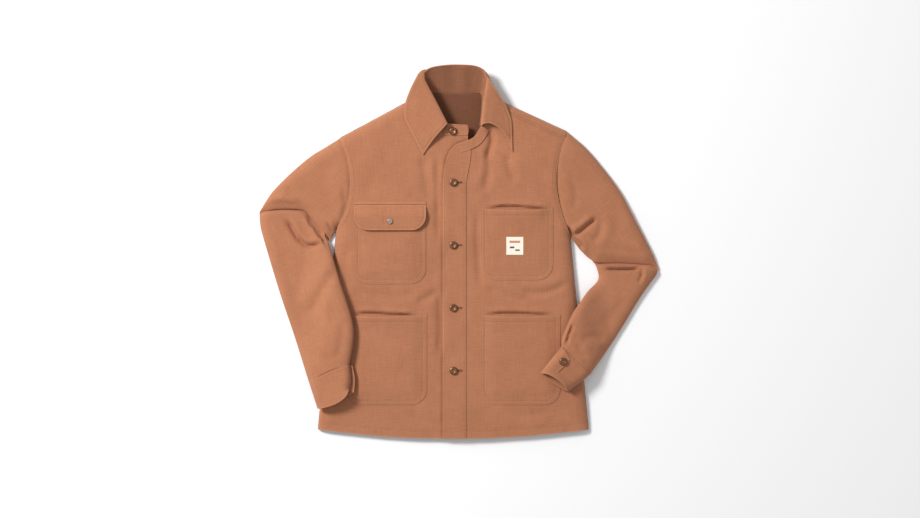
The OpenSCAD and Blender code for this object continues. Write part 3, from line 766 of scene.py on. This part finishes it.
def bar(left, right, low, high):
    """1 inside one bar of the motif, and 0 outside it; its sides are in metres from the middle."""
    sides = []
    for socket, start, end in (("X", left, right), ("Y", low, high)):
        over = add(tree, "Math", {"operation": "GREATER_THAN", 1: start}, {0: parts.outputs[socket]})
        under = add(tree, "Math", {"operation": "LESS_THAN", 1: end}, {0: parts.outputs[socket]})
        sides.append(add(tree, "Math", {"operation": "MULTIPLY"}, {0: over, 1: under}))
    return add(tree, "Math", {"operation": "MULTIPLY"}, {0: sides[0], 1: sides[1]})


red_bar = bar(-0.012, 0.012, 0.0065, 0.0115)
dark_bars = add(tree, "Math", {"operation": "MAXIMUM"},
                {0: bar(-0.011, -0.001, -0.0055, -0.0015), 1: bar(0.001, 0.011, -0.0115, -0.0080)})
threads = add(tree, "TexNoise", {"Scale": 900.0, "Detail": 2.0}, {"Vector": spot.outputs["Object"]})
ground = add(tree, "Mix", {"data_type": "RGBA", 6: srgb("#F2E6D2"), 7: srgb("#FFF8EA")}, {0: threads})
with_red = add(tree, "Mix", {"data_type": "RGBA", 7: srgb("#C98A72")}, {0: red_bar, 6: ground.outputs[2]})
with_dark = add(tree, "Mix", {"data_type": "RGBA", 7: srgb("#5B4A40")},
                {0: dark_bars, 6: with_red.outputs[2]})
bump = add(tree, "Bump", {"Strength": 0.4, "Distance": 0.0003}, {"Height": threads})
shader = add(tree, "BsdfPrincipled", {"Roughness": 0.7, "Sheen Weight": 0.2},
             {"Base Color": with_dark.outputs[2], "Normal": bump})
add(tree, "OutputMaterial", links={"Surface": shader})


def label_height(p):
    return pockets["left_chest"]["height"](p) + 0.75


label = panel("woven_label_cloth", label_edge, label_height, label_cloth, pitch=2.6, thick=0.6,
              rows=(0.6, 1.6))
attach(label, "torso")
declare(["woven_label"])

# ---------------------------------------------------------------- Sleeves
# Each sleeve is a tube of duck lying flat and bent at the elbow, where the upper part folds over
# the forearm in one deep crease. The forearms cross the body's edge and lie on the hip pockets.
elbow_out = {"right": (-448.43, 89.27), "left": (448.57, -37.15)}
crease_line = pair(
    [elbow_out["right"], (-430, 93), (-401, 96), (-372, 96), (-347, 92), (-330, 74),
     (-310, 48), (-290, 24)],
    [elbow_out["left"], (428, -29), (400, -27), (362, -25), (330, -25), (307, -23),
     (288, -11)])
upper_outer = pair(
    [shoulder["right"], (-302, 234), (-335, 213.5), (-378, 177), (-416, 139), (-434, 114),
     elbow_out["right"]],
    [shoulder["left"], (281, 237), (317, 196), (361, 137), (396, 72), (432, 2),
     elbow_out["left"]])
upper_inner = pair(
    [crease_line["right"][-1], (-284, 36), armpit["right"]],
    [(288, -11), (268, 10), armpit["left"]])
tuck = 9.0  # mm, how far the sleeve's head reaches in under the front


def tucked(side):
    """The sleeve head's edge, in under the armhole seam."""
    inward = tuck if side == "right" else -tuck
    line = armhole[side].copy()
    place = np.linspace(0, 1, len(line))
    line[:, 0] += inward * np.sin(np.clip(place, 0, 1) * math.pi) ** 0.5
    return line


fore_outer = pair(
    [elbow_out["right"], (-447, 62), (-440, 32), (-404, -88), (-371, -186), (-338.4, -287)],
    [elbow_out["left"], (443, -52), (430, -70), (405, -106), (361, -178), (324, -234),
     (293.5, -275)])
fore_inner = pair(
    [(-245.2, -250.8), (-236, -196), (-240, -148), (-268, -60), (-287, 4), (-300, 36)],
    [(230, -211), (231, -190), (253, -140), (272, -112), (289, -88), (313, -62), (309, -34),
     (300, -20)])
wrist = pair(
    [(-338.4, -287), (-318, -279), (-292, -266), (-262, -255), (-245.2, -250.8)],
    [(293.5, -275), (274, -256), (252, -236), (230, -211)])
under_crease = pair(
    [(-300, 36), (-312, 66), (-330, 96), (-352, 108), (-400, 110), (-436, 104),
     elbow_out["right"]],
    [(300, -20), (330, -9), (362, -8), (400, -9), (430, -16), elbow_out["left"]])
hip_edge = {"right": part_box("right_hip_pocket")[0].x / MM, "left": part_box("left_hip_pocket")[1].x / MM}
fore_floor = {"right": 28.8, "left": 29.0}  # mm, the forearm's underside over the hip pocket's edge
rise = math.tan(math.radians(6.8))
sleeve_full = 16.0  # mm, from the forearm's underside to its top
edge_up = 4.0  # mm, from its underside to the edges along its sides
sleeve_top = {"right": 16.6, "left": 18.0}

upper_folds = {
    "right": [([(-300, 70), (-283, 47), (-270, 50), (-268, 70)], 5.4, 4.0, 2.0),
              ([(-262, 150), (-256, 108), (-263, 70)], 1.4, 5, 1.2, -1),
              ([(-290, 210), (-300, 150), (-290, 105)], 1.0, 16, 1.0),
              ([(-390, 150), (-360, 120), (-345, 104)], 1.6, 10, 1.2, -1),
              ([(-430, 108), (-395, 109), (-358, 104)], 1.5, 5, 1.2)],
    "left": [([(243, 62), (254, 36), (270, 18), (282, 2)], 11.0, 4.4, 2.8),
             ([(252, 34), (270, 44), (290, 60), (312, 77)], 9.0, 5.0, 3.6),
             ([(296, 22), (314, 38), (318, 60), (308, 76)], 3.2, 8, 2.0, -1),
             ([(250, 180), (262, 130), (256, 90)], 1.4, 8, 1.0, -1),
             ([(330, 140), (356, 96), (372, 50)], 1.2, 14, 1.2),
             ([(330, 6), (370, 2), (420, -8)], 1.6, 8, 1.4)]}
fore_folds = {
    "right": [([(-392, 76), (-378, 58), (-362, 32), (-342, 15), (-322, 14), (-302, 20)], 10.0, 5.2, 3.2),
              ([(-352, 80), (-333, 56), (-312, 28), (-298, 8)], -5.0, 3.0, 0.0),
              ([(-346, 84), (-326, 58), (-306, 30), (-292, 12)], 8.0, 3.0, 0.0),
              ([(-276, -30), (-296, -70), (-318, -112), (-338, -150)], 4.6, 13, 2.6, -1),
              ([(-400, 10), (-380, -60), (-362, -130)], 1.2, 14, 1.0),
              ([(-258, -150), (-262, -200), (-268, -244)], 1.8, 9, 1.2, -1),
              ([(-322, -210), (-300, -232), (-268, -236)], 1.2, 9, 1.0)],
    "left": [([(322, -38), (352, -40), (392, -39), (410, -36)], 8.0, 3.2, 3.6),
             ([(408, -34), (411, -50), (402, -72)], 4.4, 3.6, 1.6),
             ([(304, -40), (312, -52), (322, -56)], 3.0, 4.0, 1.0),
             ([(256, -158), (250, -176), (243, -196), (240, -210)], 5.5, 3.0, 2.2, -1),
             ([(330, -200), (302, -190), (270, -196)], 2.4, 9, 2.0),
             ([(380, -100), (345, -140), (322, -170)], 1.2, 13, 1.2, -1),
             ([(262, -206), (276, -226), (290, -236)], 1.8, 6, 1.6, -1)]}


def seam_distance(p, *seams):
    """Distance to the nearest of several seams."""
    return np.min([along(p, seam)[0] for seam in seams], axis=0)


def upper_top(side):
    """The upper sleeve's top layer, low at the armhole and where it turns in at the elbow."""
    def height(p):
        d = seam_distance(p, upper_outer[side], upper_inner[side])
        z = SIDE_Z + (sleeve_top[side] - SIDE_Z) * rolled(d, 26)
        z += (1.3 * ripple(p, 130, 31) + 0.5 * ripple(p, 55, 32)) * rolled(d, 40)
        head = along(p, armhole[side])[0]
        z -= 2.0 * np.exp(-(head / 4.5) ** 2) * rolled(d, 12)
        for fold in upper_folds[side]:
            z += crease(p, *fold) * rolled(d, 9)
        folded = along(p, crease_line[side])[0]
        z -= (5.0 * (1 - rolled(folded, 18)) + 6.0 * (1 - ease(folded / 26))) * rolled(d, 10)
        return np.maximum(z, SIDE_Z - 3.2 * rolled(d, 10) + 1.6 * rolled(d, 3))
    return height


def upper_bottom(side):
    """Its bottom layer, flat on the table."""
    def height(p):
        d = seam_distance(p, upper_outer[side], upper_inner[side])
        return SIDE_Z - (SIDE_Z - 0.4) * rolled(d, 12)
    return height


body_loop = closed(body_edge)


def fore_mid(side, p):
    """Where the forearm's underside lies: on the table outside the body, over the pockets inside."""
    toward = 1 if side == "right" else -1
    plane = fore_floor[side] + rise * toward * (p[:, 0] - hip_edge[side])
    away = np.where(inside(p, body_edge), 0.0, along(p, body_loop)[0])
    over = 1 - ease(away / 75)
    if side == "right":
        over *= 0.30 + 0.70 * ease((70 - p[:, 1]) / 130)
    else:
        over *= ease((-20 - p[:, 1]) / 90)
    return 0.5 + (plane - 0.5) * over


def fore_top(side):
    """The forearm's top layer, which steps down behind the elbow's crease."""
    def height(p):
        d = seam_distance(p, fore_outer[side], fore_inner[side])
        mid = fore_mid(side, p) + edge_up
        z = mid + (sleeve_full - edge_up) * rolled(d, 24)
        z += (1.4 * ripple(p, 120, 41) + 0.5 * ripple(p, 50, 42)) * rolled(d, 40)
        for fold in fore_folds[side]:
            z += crease(p, *fold) * rolled(d, 8)
        dist, place, turn = along(p, crease_line[side])
        beyond = turn if side == "right" else -turn
        z -= 12.0 * (1 - ease((dist * (beyond < 0)) / 8)) * ease((0.98 - place) * 7) * rolled(d, 12)
        return np.maximum(z, mid - 3.4 * rolled(d, 10) + 1.6 * rolled(d, 3))
    return height


def fore_bottom(side):
    """Its bottom layer, on the table and the hip pocket."""
    def height(p):
        d = seam_distance(p, fore_outer[side], fore_inner[side])
        return fore_mid(side, p) + edge_up - edge_up * rolled(d, 12)
    return height


def tube(name, flat, tris, top, bottom, grain, rub=0.0, thick=CLOTH):
    """A flattened tube: two layers cut alike and joined where they meet along the sides."""
    faces = np.vstack([tris, tris[:, ::-1] + len(flat)])
    uv = np.vstack([grained(flat, grain), grained(flat, grain) * (-1, 1)])
    wear = np.tile(rub + np.zeros(len(flat)), 2)
    return finish_mesh(name, np.vstack([top, bottom]), faces, uv, wear, duck_face, thick, merge=0.02)


sleeve_grain = {"right": (-42, 17), "left": (34, -34)}
for side in ("right", "left"):
    upper_edge = outline(upper_outer[side], crease_line[side], upper_inner[side], tucked(side)[::-1])
    flat, tris = cut(upper_edge)
    upper = tube(side + "_upper_sleeve_cloth", flat, tris, laid(flat, upper_top(side)),
                 laid(flat, upper_bottom(side)), sleeve_grain[side][0])
    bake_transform(upper)
    declare([side + "_upper_top_sleeve", side + "_upper_under_sleeve"])
    fore_edge = outline(fore_outer[side], wrist[side], fore_inner[side], under_crease[side])
    flat, tris = cut(fore_edge, lines=[crease_line[side][3:-4]])
    fore = tube(side + "_forearm_sleeve_cloth", flat, tris, laid(flat, fore_top(side)),
                laid(flat, fore_bottom(side)), sleeve_grain[side][1])
    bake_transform(fore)
    declare([side + "_lower_top_sleeve", side + "_lower_under_sleeve"])

# ---------------------------------------------------------------- Cuffs
# Straight cuffs of two layers, sewn on at the wrist. The left one's button end lies on top and
# points across the sleeve, the right one's is turned under and only its edge shows.
cuff_inner = pair(
    [(-245.2, -250.8), (-242, -284), (-245.3, -305.7)],
    [(230, -211), (206, -240), (182.3, -269.7)])
cuff_outer = pair(
    [(-338.4, -287), (-328, -318), (-316.9, -351.5)],
    [(293.5, -275), (268, -295), (244, -312.4)])
cuff_end = pair(
    [(-316.9, -351.5), (-298, -350), (-274, -342), (-254, -326), (-245.3, -305.7)],
    [(244, -312.4), (226, -304), (202, -288), (182.3, -269.7)])
cuff_gape = {"right": 4.0, "left": 13.0}  # mm, how far the upper layer draws back at the mouth
cuff_proud = 1.1


def cuff_top(side):
    """The cuff's top layer, a little proud of the sleeve and drawn in along its seam."""
    def height(p):
        d = seam_distance(p, cuff_outer[side], cuff_inner[side])
        z = fore_mid(side, p) + edge_up + (sleeve_full - edge_up + cuff_proud) * rolled(d, 17)
        seam = along(p, wrist[side])[0]
        z -= 0.9 * np.exp(-(seam / 2.4) ** 2) * rolled(d, 9)
        for row in ROW:
            z -= 0.3 * np.exp(-((seam - row) / 1.0) ** 2)
        return z + 0.8 * ripple(p, 60, 51) * rolled(d, 20)
    return height


def cuff_bottom(side):
    """Its bottom layer, on the hip pocket."""
    def height(p):
        d = seam_distance(p, cuff_outer[side], cuff_inner[side])
        return fore_mid(side, p) + edge_up - (edge_up + 0.5 * cuff_proud) * rolled(d, 12)
    return height


for side in ("right", "left"):
    edge = outline(cuff_outer[side], cuff_end[side], cuff_inner[side][::-1], wrist[side][::-1])
    flat, tris = cut(edge, pitch=3.0, rows=(0.8, 2.2, 4.2), lines=[beside(wrist[side], -ROW[1])[3:-3]])
    dist, place, _ = along(flat, cuff_end[side])
    seams = seam_distance(flat, cuff_outer[side], cuff_inner[side])
    back_by = cuff_gape[side] * np.sin(place * math.pi) ** 0.7 * (1 - ease(dist / 34)) * ease(seams / 10)
    inward = np.array([0.28, 0.96]) if side == "right" else np.array([0.57, 0.82])
    top = laid(flat, cuff_top(side)) + np.column_stack([back_by[:, None] * inward, 0.35 * back_by])
    cuff = tube(side + "_cuff_cloth", flat, tris, top, laid(flat, cuff_bottom(side)),
                sleeve_grain[side][1] + 90, rub=np.exp(-(dist / 2.4) ** 2), thick=1.7)
    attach(cuff, side + "_lower_sleeve")
    declare([side + "_cuff"])

left_button = sum(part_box("left_cuff_button"), Vector()) / 2 / MM
tab_edge = {
    "left": outline([(229, -210), (239, -224), (247.5, -240.5)],
                    [(247.5, -240.5), (236, -254), (215.5, -273.5)],
                    [(215.5, -273.5), (199, -272), (184, -268.5)],
                    [(184, -268.5), (208, -239), (229, -210)]),
    "right": outline([(-272, -256), (-239, -254)], [(-239, -254), (-233.5, -284), (-235.5, -314)],
                     [(-235.5, -314), (-250, -322), (-268, -318)],
                     [(-268, -318), (-272, -286), (-272, -256)])}
tab_hole = buttonhole(left_button.x, left_button.y, math.radians(136))
left_tab = panel("left_cuff_tab_cloth", tab_edge["left"],
                 lambda p: np.maximum(cuff_top("left")(p), 41.4) + 1.9, duck_face, pitch=3.0, thick=1.7,
                 holes=[tab_hole], rows=(0.8, 2.2), grain=44)
right_tab = panel("right_cuff_tab_cloth", tab_edge["right"],
                  lambda p: fore_mid("right", p) - 1.2 + 2.2 * ease((p[:, 0] + 246) / 12), duck_face,
                  pitch=3.0, thick=1.7, rows=(0.8, 2.2), grain=12)
for side, tab in (("left", left_tab), ("right", right_tab)):
    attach(tab, side + "_lower_sleeve")
    declare([side + "_cuff_tab"])

# ---------------------------------------------------------------- Tack buttons and press stud
# Two-part tack buttons with an open-centred head, pressed from brass and plated in antiqued
# copper: dark in the hollows, rubbed bright on the rims. The stud's cap is paler and smoother.


def plated(name, hollow, rim, roughness):
    """Antiqued plating: dark patina with small scuffs, and brighter metal where it is rubbed."""
    material, tree = new_material(name)
    place = add(tree, "TexCoord")
    patina = add(tree, "TexNoise", {"Scale": 260.0, "Detail": 4.0, "Roughness": 0.6},
                 {"Vector": place.outputs["Object"]})
    geometry = add(tree, "NewGeometry")
    facing = add(tree, "SeparateXYZ", links={0: geometry.outputs["Normal"]})
    level = add(tree, "Math", {"operation": "ABSOLUTE"}, {0: facing.outputs["Z"]})
    rubbed = add(tree, "Math", {"operation": "MULTIPLY"}, {0: level, 1: patina})
    spread = add(tree, "MapRange", {"From Min": 0.22, "From Max": 0.6}, {"Value": rubbed})
    tone = add(tree, "Mix", {"data_type": "RGBA", 6: srgb(hollow), 7: srgb(rim)}, {0: spread})
    rough = add(tree, "MapRange", {"To Min": roughness + 0.2, "To Max": roughness}, {"Value": patina})
    bump = add(tree, "Bump", {"Strength": 0.3, "Distance": 0.0002}, {"Height": patina})
    shader = add(tree, "BsdfPrincipled", {"Metallic": 1.0},
                 {"Base Color": tone.outputs[2], "Roughness": rough, "Normal": bump})
    add(tree, "OutputMaterial", links={"Surface": shader})
    return material


antique_copper = plated("antiqued_copper_plate", "#4A3226", "#A8765A", 0.30)
plain_brass = plated("tumbled_brass", "#5E4630", "#A98A5E", 0.34)
worn_copper = plated("rubbed_copper_plate", "#8A6A58", "#E6D2C2", 0.22)
finishes = {"snap_cap": worn_copper, "snap_socket": worn_copper, "snap_stud": worn_copper,
            "front_tacks": plain_brass, "neck_tack": plain_brass, "left_cuff_tack": plain_brass,
            "right_cuff_tack": plain_brass, "left_cuff_button": antique_copper,
            "right_cuff_button": antique_copper, "neck_button": antique_copper}
for name in button_names[:4]:
    finishes[name] = antique_copper
for name, finish in finishes.items():
    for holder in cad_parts[name].material_slots:
        holder.material = finish

# ---------------------------------------------------------------- Stitching
# Lockstitch rows in tan core-spun thread, 3.2 mm a stitch, down the closing, along the hem,
# shoulders and armholes, and round the pockets, flap, collar and cuffs.
thread, tree = new_material("tan_core_spun_thread")
twist = add(tree, "TexCoord")
ply_marks = add(tree, "TexNoise", {"Scale": 1400.0, "Detail": 2.0}, {"Vector": twist.outputs["Object"]})
tint = add(tree, "Mix", {"data_type": "RGBA", 6: srgb("#7C4E36"), 7: srgb("#A06A4B")}, {0: ply_marks})
shader = add(tree, "BsdfPrincipled", {"Roughness": 0.6, "Sheen Weight": 0.2},
             {"Base Color": tint.outputs[2]})
add(tree, "OutputMaterial", links={"Surface": shader})

seam_row = bpy.data.node_groups.new("stitch_row", "GeometryNodeTree")
seam_row.interface.new_socket("Geometry", in_out="INPUT", socket_type="NodeSocketGeometry")
inputs = {}
for socket_name, start in (("Pitch", 0.0032), ("Length", 0.0026), ("Width", 0.0007), ("Height", 0.0005)):
    made = seam_row.interface.new_socket(socket_name, in_out="INPUT", socket_type="NodeSocketFloat")
    made.default_value = start
    inputs[socket_name] = made.identifier
seam_row.interface.new_socket("Geometry", in_out="OUTPUT", socket_type="NodeSocketGeometry")
entry = add(seam_row, "NodeGroupInput")
line = add(seam_row, "GeometryNodeMeshToCurve", links={"Mesh": entry.outputs["Geometry"]})
steps = add(seam_row, "GeometryNodeResampleCurve", {"mode": "LENGTH"},
            {"Curve": line, "Length": entry.outputs["Pitch"]})
bead = add(seam_row, "GeometryNodeMeshUVSphere", {"Segments": 6, "Rings": 4, "Radius": 0.5})
heading = add(seam_row, "GeometryNodeInputTangent")
aim = add(seam_row, "FunctionNodeAlignRotationToVector", {"axis": "X"}, {"Vector": heading})
size = add(seam_row, "CombineXYZ", links={"X": entry.outputs["Length"], "Y": entry.outputs["Width"],
                                          "Z": entry.outputs["Height"]})
beads = add(seam_row, "GeometryNodeInstanceOnPoints",
            links={"Points": steps, "Instance": bead, "Rotation": aim, "Scale": size})
real = add(seam_row, "GeometryNodeRealizeInstances", links={0: beads})
dressed = add(seam_row, "GeometryNodeSetMaterial", {"Material": thread}, {"Geometry": real})
add(seam_row, "NodeGroupOutput", links={"Geometry": dressed})


def sew(name, rows, pitch=3.2, length=2.6, width=0.75, height=0.55, above=0.12):
    """Rows of stitches as one plain mesh: each row is a flat path in mm and the height of the cloth
    that it is sewn to, and its thread stands a little above that."""
    verts, joins = [], []
    for path, cloth_height in rows:
        joins += [(len(verts) + i, len(verts) + i + 1) for i in range(len(path) - 1)]
        verts += (laid(path, cloth_height, above) * MM).tolist()
    mesh = bpy.data.meshes.new(name)
    mesh.from_pydata(verts, joins, [])
    piece = bpy.data.objects.new(name, mesh)
    scene.collection.objects.link(piece)
    rule = piece.modifiers.new("stitches", "NODES")
    rule.node_group = seam_row
    for key, value in (("Pitch", pitch), ("Length", length), ("Width", width), ("Height", height)):
        rule[inputs[key]] = value * MM
    work_in(piece, name)
    return piece


body_rows = [(smooth_path([(front_edge_x + 2.6, -414), (front_edge_x + 2.6, 148)]), on_left(1)),
             (smooth_path([(stitch_x - 2, -414), (stitch_x - 2, 158)]), on_left(1)),
             (beside(open_edge, -3)[1:-4], on_left(1))]
hem_up = hem_line + (0, 16)
body_rows += [(hem_up[(hem_up[:, 0] < front_edge_x - 2) & (hem_up[:, 0] > -312)], lie),
              (hem_up[(hem_up[:, 0] > stitch_x + 2) & (hem_up[:, 0] < 287)], left_lie)]
body_rows += [(beside(shoulder_line["left"], -off)[9:-2], left_lie) for off in (13.2, 19.4)]
for off in (2.8, 8.8):
    body_rows.append((beside(armhole["right"], off)[3:-3], lie))
    body_rows.append((beside(armhole["left"], -off)[3:-3], left_lie))
for pocket in pockets.values():
    body_rows += [(row, pocket["height"]) for row in pocket["rows"] + [pocket["hem"]]]
end_line = smooth_path([(-24, 288), (16, 285), (20.5, 280), (20.5, 265)])
body_rows.append((beside(end_line, -2.4)[1:-1], on_right(1)))
torso_stitches = sew("body_stitches", body_rows)
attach(torso_stitches, "torso")
keyholes = [closed(beside(hole, -1.1, ring=True)) for hole in holes]
worked = sew("buttonhole_stitches", [(smooth_path(ring, step=1.5), on_left(1)) for ring in keyholes],
             pitch=0.8, length=0.6, width=2.2, height=0.7, above=0.1)
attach(worked, "torso")
slot_x = pockets["right_chest"]["sewn"][:, 0].min() + 66
flap_stitches = sew("flap_stitches", [(beside(flap_sewn, ROW[0] + 3)[2:-2], flap_height),
                                      (smooth_path([(slot_x, 50), (slot_x, 100)]), flap_height)])
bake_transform(flap_stitches)
for side in ("right", "left"):
    ring = beside(leaf_edge[side], 6.0, ring=True)
    ring = ring[inside(ring, leaf_edge[side])]
    ring = ring[(along(ring, closed(leaf_edge[side]))[0] > 5.5) & (along(ring, leaf_fold[side])[0] > 9)]
    stitches = sew(side + "_leaf_stitches", [(ring, leaf_height(side))])
    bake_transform(stitches)
    rows = [(beside(wrist[side], -row)[3:-3], cuff_top(side)) for row in ROW]
    cuff_stitches = sew(side + "_cuff_stitches", rows)
    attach(cuff_stitches, side + "_lower_sleeve")
